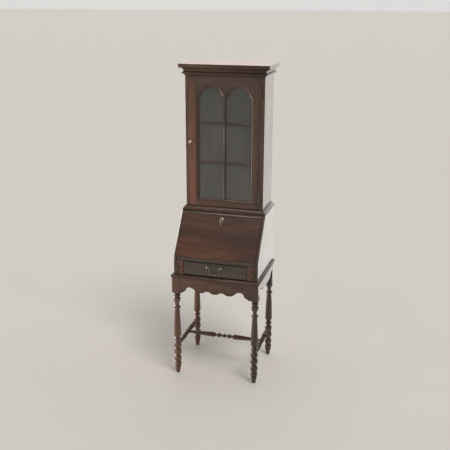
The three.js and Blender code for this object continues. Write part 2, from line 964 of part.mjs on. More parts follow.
add(
  "door_glass",
  box([-rebateLine + GAP, rebateLine - GAP], paneY, [glassBottom - 8, opening.top - GAP]),
  "glass",
);
const barY = [doorFront + 2.5, layer.edge[1]];
add(
  "glazing_bars",
  join(
    box([-MUNTIN.half, MUNTIN.half], barY, [glassBottom + GAP, ARCH.cusp - 15 - GAP]),
    ...MUNTIN.heights.map((z) =>
      box([-glassLine + GAP, glassLine - GAP], barY, [z - MUNTIN.half, z + MUNTIN.half]),
    ),
  ),
  "mahogany",
);
add(
  "door_knob",
  turnedFront([
    [0, 0],
    [6, 0],
    [6, 1.2],
    [3.2, 2.6],
    [3, 8],
    [6.6, 11],
    [8, 14.5],
    [6, 18],
    [0, 19.4],
  ]),
  "brass",
).position.set(-193, doorFront - GAP, 1345);

for (const [place, z0, z1] of hinges) {
  const barrel = new THREE.CylinderGeometry(hinge.radius, hinge.radius, z1 - z0, SMALL_ROUND);
  barrel.rotateX(Math.PI / 2).translate(hinge.x, hinge.y, (z0 + z1) / 2);
  const leaf = box(
    [caseIn + 0.25, caseIn + 0.25 + hinge.leaf],
    [hinge.y, -CASE.depth + hinge.inset],
    [z0, z1],
  );
  add("door_hinge_" + place, join(barrel, leaf), "brass");
}

root.position.y = wholeDepth / 2;

export default root;
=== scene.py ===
import math

import bmesh
import bpy
from mathutils import Matrix, Vector


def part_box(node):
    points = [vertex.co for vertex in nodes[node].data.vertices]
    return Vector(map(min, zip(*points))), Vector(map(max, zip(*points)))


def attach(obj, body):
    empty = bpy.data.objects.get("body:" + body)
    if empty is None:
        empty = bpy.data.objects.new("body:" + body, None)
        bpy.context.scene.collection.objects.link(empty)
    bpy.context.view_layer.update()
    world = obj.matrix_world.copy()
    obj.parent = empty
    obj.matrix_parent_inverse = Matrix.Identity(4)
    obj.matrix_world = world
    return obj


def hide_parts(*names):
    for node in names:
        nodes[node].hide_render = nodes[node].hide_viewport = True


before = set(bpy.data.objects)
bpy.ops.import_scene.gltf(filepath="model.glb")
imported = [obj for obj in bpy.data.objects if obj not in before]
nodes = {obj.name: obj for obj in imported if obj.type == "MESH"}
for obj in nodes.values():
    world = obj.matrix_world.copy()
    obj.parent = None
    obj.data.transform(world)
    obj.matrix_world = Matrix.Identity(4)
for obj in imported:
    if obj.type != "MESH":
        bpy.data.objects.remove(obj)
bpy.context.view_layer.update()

MM = 0.001
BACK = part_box("case_side_left")[1].y / MM  # the flat back of the whole piece
SHARP = math.radians(34)  # edges that turn more than this get a bevel
SMOOTH = 32  # degrees: faces that meet at less are shaded as one


def box_mm(node):
    """A node's lowest and highest corners in millimetres, with Y measured from the back."""
    lo, hi = (Vector(c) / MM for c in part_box(node))
    lo.y -= BACK
    hi.y -= BACK
    return lo, hi


def back_centre(node):
    """The middle of a node's back, where a turned knob or post starts."""
    lo, hi = box_mm(node)
    return ((lo.x + hi.x) / 2, hi.y, (lo.z + hi.z) / 2)


# ---- materials --------------------------------------------------------------------------------
class Tree:
    """Short calls for making and joining a material's nodes."""

    def __init__(self, name):
        self.material = bpy.data.materials.new(name)
        self.material.use_nodes = True
        self.nodes = self.material.node_tree.nodes
        self.links = self.material.node_tree.links
        self.nodes.clear()
        self.shader = self.add("ShaderNodeBsdfPrincipled")
        output = self.add("ShaderNodeOutputMaterial")
        self.links.new(self.shader.outputs["BSDF"], output.inputs["Surface"])

    def add(self, kind, sockets=None, **settings):
        node = self.nodes.new(kind)
        for key, value in settings.items():
            setattr(node, key, value)
        for key, value in (sockets or {}).items():
            if isinstance(value, bpy.types.NodeSocket):
                self.links.new(value, node.inputs[key])
            else:
                node.inputs[key].default_value = value
        return node

    def set(self, **sockets):
        for key, value in sockets.items():
            name = key.replace("_", " ")
            if isinstance(value, bpy.types.NodeSocket):
                self.links.new(value, self.shader.inputs[name])
            else:
                self.shader.inputs[name].default_value = value

    def coordinates(self, scale, shift=(0, 0, 0)):
        place = self.add("ShaderNodeTexCoord")
        mapping = self.add(
            "ShaderNodeMapping",
            {"Vector": place.outputs["Object"], "Scale": scale, "Location": shift},
        )
        return mapping.outputs["Vector"]

    def noise(self, vector, scale, detail=3.0, roughness=0.5, distortion=0.0):
        return self.add(
            "ShaderNodeTexNoise",
            {
                "Vector": vector,
                "Scale": scale,
                "Detail": detail,
                "Roughness": roughness,
                "Distortion": distortion,
            },
        ).outputs["Fac"]

    def ramp(self, value, stops):
        node = self.add("ShaderNodeValToRGB", {"Fac": value})
        elements = node.color_ramp.elements
        while len(elements) < len(stops):
            elements.new(0.5)
        for element, (place, color) in zip(elements, stops):
            element.position = place
            element.color = color if len(color) == 4 else (*color, 1)
        return node.outputs["Color"]

    def math(self, operation, a, b=0.5, clamp=False):
        return self.add(
            "ShaderNodeMath", {0: a, 1: b}, operation=operation, use_clamp=clamp
        ).outputs[0]

    def mix(self, blend, factor, a, b):
        node = self.add("ShaderNodeMix", data_type="RGBA", blend_type=blend)
        for index, value in ((0, factor), (6, a), (7, b)):
            if isinstance(value, bpy.types.NodeSocket):
                self.links.new(value, node.inputs[index])
            else:
                node.inputs[index].default_value = value
        return node.outputs[2]

    def bump(self, height, strength, distance):
        return self.add(
            "ShaderNodeBump", {"Height": height, "Strength": strength, "Distance": distance}
        ).outputs["Normal"]

    def edges(self, radius, low, high):
        """A mask that is white along the convex and concave arrises."""
        soft = self.add("ShaderNodeBevel", {"Radius": radius}, samples=4)
        flat = self.add("ShaderNodeNewGeometry")
        dot = self.add(
            "ShaderNodeVectorMath",
            {0: soft.outputs["Normal"], 1: flat.outputs["Normal"]},
            operation="DOT_PRODUCT",
        )
        turn = self.math("SUBTRACT", 1.0, dot.outputs["Value"])
        return self.ramp(turn, [(low, (0, 0, 0)), (high, (1, 1, 1))])


def linear(level):
    """Linear value of one 0 to 255 screen level."""
    v = level / 255
    return v / 12.92 if level <= 10 else ((v + 0.055) / 1.055) ** 2.4


def rgb(*levels):
    """Linear colour from screen levels."""
    return tuple(linear(level) for level in levels)


MAHOGANY = {
    "deep": rgb(47, 31, 23),
    "mid": rgb(73, 50, 38),
    "red": rgb(98, 64, 47),
    "pore": rgb(26, 17, 13),
    "worn_highlight": rgb(156, 124, 100),
}
FALL = {
    "deep": rgb(58, 34, 23),
    "mid": rgb(78, 47, 32),
    "red": rgb(104, 63, 42),
    "pore": rgb(28, 18, 14),
    "worn_highlight": rgb(150, 118, 94),
}
# Warmer and lighter: painted light falling from the left, with some real difference in the timber;
# used for the pieces on the left.
WARM_LEFT_LIT = {
    "deep": rgb(66, 40, 29),
    "mid": rgb(98, 62, 45),
    "red": rgb(128, 80, 56),
    "pore": rgb(34, 22, 16),
    "worn_highlight": rgb(160, 126, 100),
}
DRAWER = {
    "deep": rgb(54, 45, 37),
    "mid": rgb(68, 58, 48),
    "red": rgb(80, 65, 53),
    "pore": rgb(32, 26, 21),
    "worn_highlight": rgb(132, 112, 92),
}
DIM = {
    "deep": rgb(48, 36, 29),
    "mid": rgb(66, 50, 40),
    "red": rgb(82, 58, 46),
    "pore": rgb(34, 25, 20),
    "worn_highlight": rgb(104, 82, 66),
}
INNER = {
    "deep": rgb(96, 68, 47),
    "mid": rgb(124, 90, 63),
    "red": rgb(142, 104, 74),
    "pore": rgb(72, 50, 34),
    "worn_highlight": rgb(158, 124, 92),
}


def wood(
    name,
    grain="Z",
    tones=MAHOGANY,
    seed=0.0,
    gloss=0.6,
    rough=0.4,
    wear_and_highlight=0.5,
    cloud=0.085,
    shade_reach=0.013,
):
    """Polished wood: broad figure, streaks along the grain, open pores, painted shade in the
    corners with the dark wax that collects there, and rubbed arrises painted lighter as wear and
    as a painted highlight. The figure is 1 / cloud times as long as it is wide, and the painted
    shade darkens what has a neighbour within the shade reach, in metres."""
    t = Tree(name)
    shift = (0.37 * seed, 1.13 * seed, 0.71 * seed)
    at = "XYZ".index(grain)
    broad, along, fine = (
        t.coordinates(tuple(k if i == at else 1.0 for i in range(3)), shift)
        for k in (cloud, 0.085, 0.03)
    )
    even = t.coordinates((1, 1, 1), shift)
    figured = t.noise(broad, 10.0, 4.0, 0.55, 1.1)
    streak = t.noise(along, 95.0, 4.0, 0.62, 0.3)
    pore = t.noise(fine, 900.0, 2.0, 0.6)
    body = t.ramp(figured, [(0.3, tones["deep"]), (0.5, tones["mid"]), (0.72, tones["red"])])
    lines = t.ramp(streak, [(0.3, (0.66, 0.64, 0.62)), (0.62, (1.1, 1.08, 1.06))])
    body = t.mix("MULTIPLY", 0.8, body, lines)
    holes = t.ramp(pore, [(0.6, (0, 0, 0)), (0.7, (1, 1, 1))])
    body = t.mix("MIX", t.math("MULTIPLY", holes, 0.5), body, (*tones["pore"], 1))
    # arrises painted lighter: rubbed wear, and also a painted highlight along the edges
    rubbed_and_highlit = t.edges(0.0022, 0.03, 0.3)
    patchy = t.ramp(t.noise(even, 22.0, 4.0, 0.6), [(0.35, (0, 0, 0)), (0.7, (1, 1, 1))])
    rubbed_and_highlit = t.math("MULTIPLY", t.math("MULTIPLY", rubbed_and_highlit, patchy), wear_and_highlight)
    body = t.mix("MIX", rubbed_and_highlit, body, (*tones["worn_highlight"], 1))
    # painted shade: ambient occlusion darkens corners, crevices and grooves, and stands also for
    # the dark wax that collects there
    corner = t.add("ShaderNodeAmbientOcclusion", {"Distance": shade_reach}, samples=6).outputs["AO"]
    corner_shade_and_wax = t.ramp(corner, [(0.4, (0.22, 0.2, 0.19)), (0.93, (1, 1, 1))])
    body = t.mix("MULTIPLY", 1.0, body, corner_shade_and_wax)
    smear = t.noise(even, 9.0, 3.0, 0.5)
    roughness = t.math("ADD", t.math("MULTIPLY", smear, 0.16), t.math("MULTIPLY", streak, 0.1))
    roughness = t.math("ADD", roughness, rough - 0.12, clamp=True)
    height = t.math("ADD", t.math("MULTIPLY", streak, 0.5), t.math("MULTIPLY", pore, -0.35))
    t.set(
        Base_Color=body,
        Roughness=roughness,
        Specular_IOR_Level=0.3,
        Normal=t.bump(height, 0.25, 0.0005),
        Coat_Weight=gloss,
        Coat_Roughness=0.14,
        Coat_IOR=1.5,
    )
    return t.material


def brass(name, tarnish=0.5):
    t = Tree(name)
    where = t.coordinates((1, 1, 1))
    cloud = t.noise(where, 160.0, 5.0, 0.6, 0.4)
    grime = t.ramp(cloud, [(0.38, (1, 1, 1)), (0.62, (0, 0, 0))])
    # edges painted brighter: rubbed brass, and also a painted highlight
    rim_wear_and_highlight = t.edges(0.0012, 0.02, 0.25)
    grime = t.math("ADD", grime, tarnish - 0.5, clamp=True)
    bright, dark = (*rgb(192, 182, 166), 1), (*rgb(70, 61, 52), 1)
    body = t.mix("MIX", t.math("MULTIPLY", grime, tarnish), bright, dark)
    body = t.mix("MIX", t.math("MULTIPLY", rim_wear_and_highlight, 0.6), body, (*rgb(226, 212, 184), 1))
    scratches = t.noise(where, 1400.0, 2.0, 0.6)
    roughness = t.math("ADD", t.math("MULTIPLY", grime, 0.28), t.math("MULTIPLY", scratches, 0.12))
    t.set(
        Base_Color=body,
        Metallic=1.0,
        Roughness=t.math("ADD", roughness, 0.13),
        Normal=t.bump(scratches, 0.12, 0.0002),
    )
    return t.material


def steel(name):
    t = Tree(name)
    brushed = t.noise(t.coordinates((1, 12, 12)), 260.0, 3.0, 0.6)
    t.set(
        Base_Color=t.ramp(brushed, [(0.3, rgb(92, 88, 82)), (0.7, rgb(140, 136, 130))]),
        Metallic=1.0,
        Roughness=t.math("ADD", t.math("MULTIPLY", brushed, 0.2), 0.3),
        Normal=t.bump(brushed, 0.15, 0.0002),
    )
    return t.material


def glass(name):
    """Old sheet glass, mostly opaque, under a grey film that runs down it in faint streaks: dust,
    and a painted reflection of the room and the dim inside. It is painted darker towards the top
    and paler towards the foot, as shade."""
    t = Tree(name)
    height = t.add("ShaderNodeSeparateXYZ", {0: t.coordinates((1, 1, 1))}).outputs["Z"]
    above = t.math("SUBTRACT", height, 0.9)  # metres, moved down into a ramp's 0 to 1
    # painted shade: the panes are darker towards the top and paler towards the foot
    painted_height_shade = t.ramp(above, [(0.15, (1.04, 1.04, 1.04)), (0.75, (0.72, 0.72, 0.72))])
    streaks = t.noise(t.coordinates((1, 1, 0.12)), 26.0, 2.0, 0.5)
    clouds = t.noise(t.coordinates((1, 1, 0.5)), 5.0, 2.0, 0.5)
    film = t.math("ADD", t.math("MULTIPLY", streaks, 0.4), t.math("MULTIPLY", clouds, 0.6))
    # the grey film: dust, and a painted reflection of the room with the dim inside behind the
    # glass
    dust_and_painted_reflection = t.ramp(film, [(0.35, rgb(83, 82, 80)), (0.65, rgb(95, 94, 91))])
    t.set(
        Base_Color=t.mix("MULTIPLY", 1.0, dust_and_painted_reflection, painted_height_shade),
        Roughness=t.math("ADD", t.math("MULTIPLY", clouds, 0.06), 0.27),
        Alpha=t.math("ADD", t.math("MULTIPLY", film, 0.1), 0.76),
        Specular_IOR_Level=0.5,
    )
    return t.material


def floor_paint(name):
    t = Tree(name)
    cloud = t.noise(t.coordinates((1, 1, 1)), 1.3, 3.0, 0.5)
    t.set(
        Base_Color=t.ramp(cloud, [(0.3, rgb(233, 228, 220)), (0.7, rgb(236, 231, 224))]),
        Roughness=t.math("ADD", t.math("MULTIPLY", cloud, 0.1), 0.55),
    )
    return t.material


# ---- mesh making ------------------------------------------------------------------------------
def raw_mesh(verts, faces):
    """A bmesh from points in millimetres, with Y measured from the back."""
    bm = bmesh.new()
    made = [bm.verts.new((x * MM, (y + BACK) * MM, z * MM)) for x, y, z in verts]
    for face in faces:
        bm.faces.new([made[i] for i in face])
    return bm


def make(name, verts, faces, material, body, slot, stands_for=(), **finish):
    """A closed piece from points in millimetres; finish is finish_piece's bevel and smoothing."""
    bm = raw_mesh(verts, faces)
    return finish_piece(name, bm, material, body, slot, stands_for, **finish)


def finish_piece(
    name, bm, material, body, slot, stands_for=(), bevel=0.0, segments=3, smooth=SMOOTH
):
    """Bevels a bmesh by bevel millimetres and makes it a piece that rides on a body and stands
    for some CAD nodes. Edges that turn more than smooth degrees stay sharp."""
    bmesh.ops.remove_doubles(bm, verts=bm.verts, dist=1e-6)
    bmesh.ops.recalc_face_normals(bm, faces=bm.faces)
    if bevel:
        sharp = [e for e in bm.edges if e.calc_face_angle(0) > SHARP]
        bmesh.ops.bevel(
            bm,
            geom=sharp,
            offset=bevel * MM,
            segments=segments,
            profile=0.5,
            affect="EDGES",
            clamp_overlap=True,
        )
    mesh = bpy.data.meshes.new(name)
    bm.to_mesh(mesh)
    bm.free()
    mesh.shade_smooth()
    mesh.set_sharp_from_angle(angle=math.radians(smooth))
    piece = bpy.data.objects.new(name, mesh)
    bpy.context.scene.collection.objects.link(piece)
    mesh.materials.append(material)
    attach(piece, body)
    if stands_for:
        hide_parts(*stands_for)
    even_normals(piece)
    return piece


def even_normals(piece):
    """Keeps broad faces flat where they meet a rounded arris."""
    even = piece.modifiers.new("even_normals", "WEIGHTED_NORMAL")
    even.keep_sharp = True
    even.weight = 80


def carved(piece, *cutters, union=False):
    """Cuts the cutters out of a piece, or joins them to it, and removes them."""
    piece.modifiers.clear()
    for cutter in cutters:
        modifier = piece.modifiers.new("cut", "BOOLEAN")
        modifier.operation = "UNION" if union else "DIFFERENCE"
        modifier.solver = "EXACT"
        modifier.object = cutter
    bpy.context.view_layer.update()
    evaluated = piece.evaluated_get(bpy.context.evaluated_depsgraph_get())
    mesh = bpy.data.meshes.new_from_object(evaluated)
    piece.modifiers.clear()
    old = piece.data
    piece.data = mesh
    bpy.data.meshes.remove(old)
    for cutter in cutters:
        bpy.data.objects.remove(cutter)
    mesh.shade_smooth()
    mesh.set_sharp_from_angle(angle=math.radians(SMOOTH))
    even_normals(piece)
    return piece


def prism(outline, axis, start, end):
    """Points and faces of an outline run along an axis: x takes (y, z), y (x, z), z (x, y)."""
    place = {
        "x": lambda p, a: (a, p[0], p[1]),
        "y": lambda p, a: (p[0], a, p[1]),
        "z": lambda p, a: (p[0], p[1], a),
    }[axis]
    n = len(outline)
    verts = [place(p, start) for p in outline] + [place(p, end) for p in outline]
    faces = [tuple(range(n)), tuple(range(2 * n - 1, n - 1, -1))]
    faces += [(i, (i + 1) % n, n + (i + 1) % n, n + i) for i in range(n)]
    return verts, faces


def block(lo, hi):
    corners = [(lo[0], lo[1]), (hi[0], lo[1]), (hi[0], hi[1]), (lo[0], hi[1])]
    return prism(corners, "z", lo[2], hi[2])


# Faces of a block whose corners are listed as four round one end and four round the other.
BLOCK_FACES = [(0, 1, 2, 3), (7, 6, 5, 4), (0, 4, 5, 1), (1, 5, 6, 2), (2, 6, 7, 3), (3, 7, 4, 0)]


def rings(loops, closed_path=False):
    """Faces that join loops of equal length, round a closed path or with a cap at each end."""
    n = len(loops[0])
    verts = [p for loop in loops for p in loop]
    faces = []
    count = len(loops)
    for k in range(count if closed_path else count - 1):
        a, b = k * n, ((k + 1) % count) * n
        faces += [(a + i, a + (i + 1) % n, b + (i + 1) % n, b + i) for i in range(n)]
    if not closed_path:
        faces += [tuple(range(n)), tuple(range((count - 1) * n, count * n))]
    return verts, faces


def turned(profile, centre, axis="z", sides=56):
    """A turned solid from (radius, distance along) pairs about an axis through a centre."""
    loops = []
    for radius, along in profile:
        loop = []
        for i in range(sides):
            angle = 2 * math.pi * i / sides
            a, b = radius * math.cos(angle), radius * math.sin(angle)
            point = {
                "z": (a, b, along),
                "x": (along, a, b),
                "y": (a, along, b),
                "front": (a, -along, b),
            }[axis]
            loop.append(tuple(c + d for c, d in zip(centre, point)))
        loops.append(loop)
    return rings(loops)


def bead(start, end, radius, neck, steps=14, fullness=0.8):
    """A turned bead between two grooves, as (radius, distance) pairs."""
    points = []
    for i in range(steps + 1):
        angle = math.pi * i / steps
        along = (start + end) / 2 - math.cos(angle) * (end - start) / 2
        points.append((neck + (radius - neck) * math.sin(angle) ** fullness, along))
    return points


def curve(points, steps=10):
    """A smooth Catmull-Rom line through points."""
    made = []
    padded = [points[0], *points, points[-1]]
    for i in range(1, len(padded) - 2):
        p0, p1, p2, p3 = (Vector(padded[i + k]) for k in (-1, 0, 1, 2))
        for s in range(steps):
            t = s / steps
            made.append(
                0.5
                * (
                    2 * p1
                    + (p2 - p0) * t
                    + (2 * p0 - 5 * p1 + 4 * p2 - p3) * t * t
                    + (3 * p1 - p0 - 3 * p2 + p3) * t**3
                )
            )
    made.append(Vector(points[-1]))
    return [tuple(p) for p in made]


def quadratic(start, control, end, steps=10):
    """Points along a quadratic Bezier curve, without its start."""
    made = []
    for i in range(1, steps + 1):
        t = i / steps
        made.append(
            tuple(
                (1 - t) ** 2 * a + 2 * t * (1 - t) * c + t * t * b
                for a, c, b in zip(start, control, end)
            )
        )
    return made


def cove(start, end, steps):
    """A hollow quarter ellipse between two (overhang, height) points."""
    made = []
    for i in range(1, steps + 1):
        angle = math.pi / 2 * i / steps
        s, c = math.sin(angle), math.cos(angle)
        made.append(
            (start[0] + (end[0] - start[0]) * (1 - c), start[1] + (end[1] - start[1]) * s)
        )
    return made


def moulding(profile, half_width, depth, inner=0.35):
    """A moulding mitred round the front and two sides of a body."""
    section = [(inner, profile[0][1]), *profile, (inner, profile[-1][1])]
    stations = []
    for sx, front in ((-1, False), (-1, True), (1, True), (1, False)):
        stations.append(
            [(sx * (half_width + o), -(depth + o) if front else -0.1, z) for o, z in section]
        )
    return rings(stations)


def tube(points, radius_at, sides=14):
    """A round bar along a line of points in a plane of constant Y. radius_at takes 0 to 1."""
    loops = []
    for i, point in enumerate(points):
        before = Vector(points[max(i - 1, 0)])
        after = Vector(points[min(i + 1, len(points) - 1)])
        along = (after - before).normalized()
        out = Vector((0, 1, 0))
        across = along.cross(out).normalized()
        radius = radius_at(i / (len(points) - 1))
        loop = []
        for k in range(sides):
            angle = 2 * math.pi * k / sides
            loop.append(
                tuple(Vector(point) + radius * (math.cos(angle) * out + math.sin(angle) * across))
            )
        loops.append(loop)
    return rings(loops)


# ---- slope coordinates ------------------------------------------------------------------------
DESK_DEPTH = 404.0  # at the foot of the slope
TOP_DEPTH = 243.5  # at the top of the slope
desk_lo, desk_hi = box_mm("desk_side_left")
side_thickness = desk_hi.x - desk_lo.x
desk_half = -desk_lo.x
_, bed_hi = box_mm("writing_board")
slope_foot = (-DESK_DEPTH, bed_hi.z)
slope_top = (-TOP_DEPTH, desk_hi.z)
slant = math.atan2(slope_top[1] - slope_foot[1], slope_top[0] - slope_foot[0])


def on_slope(x, up, out):
    """A point on the sloping front: across, up the slope, and out of its face."""
    return (
        x,
        slope_foot[0] + up * math.cos(slant) - out * math.sin(slant),
        slope_foot[1] + up * math.sin(slant) + out * math.cos(slant),
    )


# ---- finishes ---------------------------------------------------------------------------------
AGED_BRASS = brass("aged_brass", 0.58)
DARK_BRASS = brass("blackened_brass", 1.0)
PLATE_BRASS = brass("plate_brass", 0.82)
CLEAN_BRASS = brass("rubbed_brass", 0.4)
STEEL = steel("lock_steel")
GLASS = glass("sheet_glass")


# ---- stand ------------------------------------------------------------------------------------
LEG_TURNING = [
    (8.6, 0.0),
    (10.2, 1.4),
    (11.4, 4.5),
    (17.8, 38.0),
    (18.8, 41.0),
    (18.0, 43.0),
    (14.4, 44.4),
    *bead(46.0, 69.5, 21.0, 14.0),
    (13.0, 71.2),
    *bead(73.0, 109.0, 21.0, 13.2),
    (12.4, 111.5),
    (12.4, 115.0),
    *bead(117.5, 156.0, 21.3, 13.0),
    (12.6, 157.5),
    *bead(159.0, 196.0, 21.0, 13.2),
    (12.2, 198.5),
    (12.2, 202.5),
    *bead(205.0, 221.0, 20.0, 13.2, 10),
    (12.4, 222.6),
    (12.8, 226.0),
    (14.8, 231.0),
    (18.0, 234.6),
    (20.2, 238.0),
    (21.0, 243.0),
    (20.8, 256.0),
    (19.6, 296.0),
    (17.9, 340.0),
    (15.9, 378.0),
    (14.3, 400.0),
    (14.1, 404.0),
    (12.8, 406.0),
    *bead(408.0, 424.0, 20.0, 13.0, 10),
    (12.2, 425.6),
    (11.4, 430.0),
    (11.4, 436.0),
    (12.4, 441.0),
    (14.8, 447.0),
    (18.0, 453.6),
    (20.2, 459.6),
    (21.0, 465.0),
    (20.6, 470.0),
    (18.6, 475.4),
    (15.6, 478.8),
    (12.8, 480.2),
    (12.4, 481.2),
    *bead(482.0, 497.0, 20.4, 12.6, 10),
    (12.2, 498.4),
    (12.6, 500.6),
    (16.0, 503.6),
    (21.4, 505.6),
]
SQUARE_FROM = 505.8  # the leg turns square above this height
EASED_FROM = 605.5  # its top edge is eased above this one
TOP_EASE = 0.7
BLOCK_STEPS = [
    (22.6, 506.0),
    (26.4, 508.6),
    (29.6, 513.0),
    (31.1, 518.6),
    (31.1, 604.9),
    (30.2, 605.7),
]


def leg(place):
    lo, hi = box_mm("leg_" + place)
    half = (hi.x - lo.x) / 2
    centre = ((lo.x + hi.x) / 2, (lo.y + hi.y) / 2)
    sides = 64
    loops = []
    for radius, z in LEG_TURNING + BLOCK_STEPS:
        square = z > SQUARE_FROM
        inner = half if z < EASED_FROM else half - TOP_EASE
        loop = []
        for i in range(sides):
            angle = 2 * math.pi * i / sides
            c, s = math.cos(angle), math.sin(angle)
            r = min(radius, inner / max(abs(c), abs(s))) if square else radius
            loop.append((centre[0] + r * c, centre[1] + r * s, z))
        loops.append(loop)
    # the left legs take the warmer tone's painted light
    tones = WARM_LEFT_LIT if place in ("back_left", "front_left") else MAHOGANY
    seed = 3 + len(place) * 0.7
    # a wider reach paints deeper shade into the grooves between the beads
    grain = wood("leg_wood_" + place, "Z", tones, seed, wear_and_highlight=0.7, gloss=0.9, shade_reach=0.03)
    make(
        "turned_leg_" + place,
        *rings(loops),
        grain,
        "carcase",
        "case_wood",
        ["leg_" + place],
        smooth=40,
    )


for place in ("front_left", "front_right", "back_left", "back_right"):
    leg(place)


def stretcher(name, half_rows, axis):
    lo, hi = box_mm(name)
    centre = tuple((a + b) / 2 for a, b in zip(lo, hi))
    half = (hi.x - lo.x) / 2 if axis == "x" else (hi.y - lo.y) / 2
    left = [(r, -a) for r, a in reversed(half_rows)]
    profile = [(7.0, -half), (7.6, -half + 3), *left, *half_rows, (7.6, half - 3), (7.0, half)]
    gloss, rough = (0.7, 0.4) if axis == "x" else (0.1, 0.6)
    grain = wood("wood_" + name, axis.upper(), MAHOGANY, len(name) * 0.31, gloss, rough)
    make(
        name + "_turned",
        *turned(profile, centre, axis),
        grain,
        "carcase",
        "case_wood",
        [name],
        smooth=40,
    )


# Half turnings, as (radius, distance from the middle).
CENTRE_ROWS = [
    (13.0, 0.1),
    (12.6, 2.6),
    (11.2, 5.2),
    (8.8, 7.2),
    (6.8, 8.4),
    (6.6, 14.6),
    (6.4, 16.0),
    (6.4, 18.0),
    *bead(19.5, 44.5, 12.6, 6.6, 14),
    (6.2, 46.5),
    (6.4, 49.5),
    *bead(51.0, 56.5, 9.6, 7.0, 8),
    (13.0, 57.5),
    (15.2, 60.5),
    (15.4, 66.0),
    (14.6, 90.0),
    (12.2, 132.0),
    (9.6, 176.0),
    (8.0, 204.0),
]
SIDE_ROWS = [
    (15.0, 0.1),
    (14.6, 5.0),
    (12.6, 11.0),
    (8.4, 16.5),
    (6.8, 19.0),
    (6.8, 22.5),
    *bead(24.0, 44.0, 12.6, 7.0, 14),
    (6.8, 46.0),
    (6.8, 49.0),
    *bead(50.5, 56.0, 9.4, 7.2, 8),
    (12.6, 57.0),
    (14.2, 60.0),
    (14.4, 66.0),
    (13.8, 88.0),
    (12.2, 120.0),
    (10.4, 150.0),
]
stretcher("centre_stretcher", CENTRE_ROWS, "x")
stretcher("side_stretcher_left", SIDE_ROWS, "y")
stretcher("side_stretcher_right", SIDE_ROWS, "y")

SCALLOPS = [
    ((195, 511), (186, 520)),
    ((172, 524), (168, 538)),
    ((163, 552), (147, 552)),
    ((128, 552), (112, 534)),
    ((98, 524), (84, 524.5)),
    ((68, 525), (60, 531)),
    ((50, 537.5), (41, 537.5)),
    ((32, 537.5), (22, 530)),
    ((12, 524.5), (0, 524.5)),
]


def front_apron():
    lo, hi = box_mm("apron_front")
    half = []
    last = (hi.x, 510.0)
    for control, end in SCALLOPS:
        half += quadratic(last, control, end, 9)
        last = end
    right = [(hi.x, 510.0), *half]
    left = [(-x, z) for x, z in reversed(right[:-1])]
    outline = [(hi.x, hi.z), *right, *left, (lo.x, hi.z)]
    grain = wood("apron_front_wood", "X", seed=5.3, wear_and_highlight=0.5)
    make(
        "scalloped_apron_front",
        *prism(outline, "y", lo.y, hi.y),
        grain,
        "carcase",
        "case_wood",
        ["apron_front"],
        bevel=0.9,
        segments=2,
    )


def side_apron(name):
    lo, hi = box_mm(name)
    middle = (lo.y + hi.y) / 2
    half = [(148, 572)]
    half += quadratic((148, 572), (120, 570), (104, 552))
    half += quadratic((104, 552), (92, 539.5), (70, 539.5))
    end = [(hi.y - middle, 560), *quadratic((hi.y - middle, 560), (160, 573), (148, 572))[:-1]]
    right = [(middle + y, z) for y, z in end + half]
    left = [(2 * middle - y, z) for y, z in reversed(right)]
    outline = [(hi.y, hi.z), *right, *left, (lo.y, hi.z)]
    make(
        "scalloped_" + name,
        *prism(outline, "x", lo.x, hi.x),
        wood(name + "_wood", "Y", seed=6.1),
        "carcase",
        "case_wood",
        [name],
        bevel=0.9,
        segments=2,
    )


front_apron()
side_apron("apron_left")
side_apron("apron_right")

base_lo, base_hi = box_mm("base_moulding")
BASE_PROFILE = [
    (8.6, base_lo.z),
    (10.6, 607.3),
    (12.4, 608.2),
    (13.5, 609.6),
    (14.0, 611.4),
    (13.8, 613.2),
    (12.9, 614.8),
    (11.2, 615.6),
    (10.6, 616.4),
    (9.4, 617.6),
    (7.6, 618.8),
    (6.2, 620.4),
    (5.3, 622.0),
    (4.9, base_hi.z),
]
make(
    "base_moulding_run",
    *moulding(BASE_PROFILE, desk_half, DESK_DEPTH + 1.5),
    wood("base_moulding_wood", "X", seed=7.7, wear_and_highlight=0.8, gloss=0.3, rough=0.44),
    "carcase",
    "case_wood",
    ["base_moulding"],
    smooth=50,
)

# ---- desk -------------------------------------------------------------------------------------
def desk_side(name, side):
    """A side of the desk. Its front arris is rounded outside, and less so on the slope inside."""
    lo, hi = box_mm(name)
    outline = [(hi.y, lo.z), (hi.y, hi.z), (slope_top[0], hi.z), slope_foot, (lo.y, lo.z)]
    bm = raw_mesh(*prism(outline, "x", lo.x, hi.x))
    bmesh.ops.recalc_face_normals(bm, faces=bm.faces)

    def round_front(face_x, lowest, radius, segments):
        """Rounds the front edges that run up a face and lie above the lowest point, if given."""
        edges = []
        for edge in bm.edges:
            ends = [v.co for v in edge.verts]
            on_face = all(abs(c.x - face_x * MM) < 1e-5 for c in ends)
            forward = all(c.y < (slope_top[0] + BACK + 1) * MM for c in ends)
            above = lowest is None or all(c.z > lowest * MM for c in ends)
            if on_face and forward and above and abs(ends[0].z - ends[1].z) > 1e-3:
                edges.append(edge)
        bmesh.ops.bevel(
            bm, geom=edges, offset=radius * MM, segments=segments, profile=0.5, affect="EDGES"
        )

    round_front(side * desk_half, None, 9.5, 8)
    round_front(side * (desk_half - side_thickness), slope_foot[1] - 1, 4.5, 5)
    rest = [e for e in bm.edges if e.calc_face_angle(0) > SHARP]
    bmesh.ops.bevel(
        bm, geom=rest, offset=0.8 * MM, segments=2, profile=0.5, affect="EDGES", clamp_overlap=True
    )
    grain = wood(name + "_wood", "Z", seed=9.1 + side, gloss=0.8, rough=0.34, wear_and_highlight=0.4)
    return finish_piece(name + "_board", bm, grain, "carcase", "case_wood", [name], smooth=30)


desk_side("desk_side_left", -1)
desk_side("desk_side_right", 1)

top_lo, top_hi = box_mm("desk_top")
bead_foot = 255.2  # up the slope


